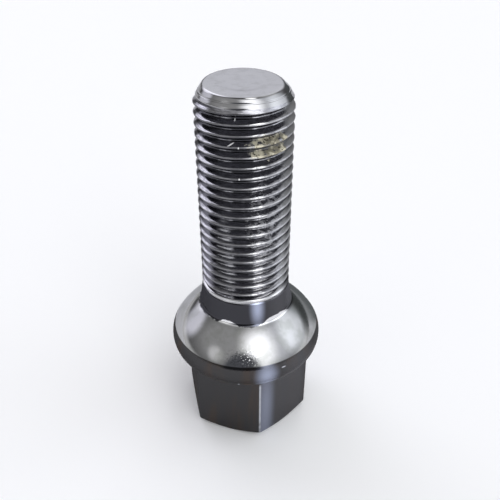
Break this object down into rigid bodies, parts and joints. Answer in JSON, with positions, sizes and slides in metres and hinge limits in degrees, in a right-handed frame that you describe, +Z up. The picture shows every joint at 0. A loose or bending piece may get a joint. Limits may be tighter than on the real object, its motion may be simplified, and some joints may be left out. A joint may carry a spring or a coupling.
{
  "type": "wheel bolt",
  "caption": "Chrome-plated wheel bolt with a hexagon drive head, a ball seat collar, a short tapered neck and a fine right-hand thread; holds a car wheel to its hub.",
  "frame": {"origin": "centre of the head's end face, on which the bolt stands", "axes": "+Z up the bolt's axis from the head to the thread's tip, a corner of the hexagon on -Y"},
  "size_m": [0.025, 0.025, 0.0587],
  "materials": {
    "plated_steel": "polished chrome plating on forged steel"
  },
  "bodies": {
    "root": {"wheel_bolt": "plated_steel"}
  },
  "joints": []
}
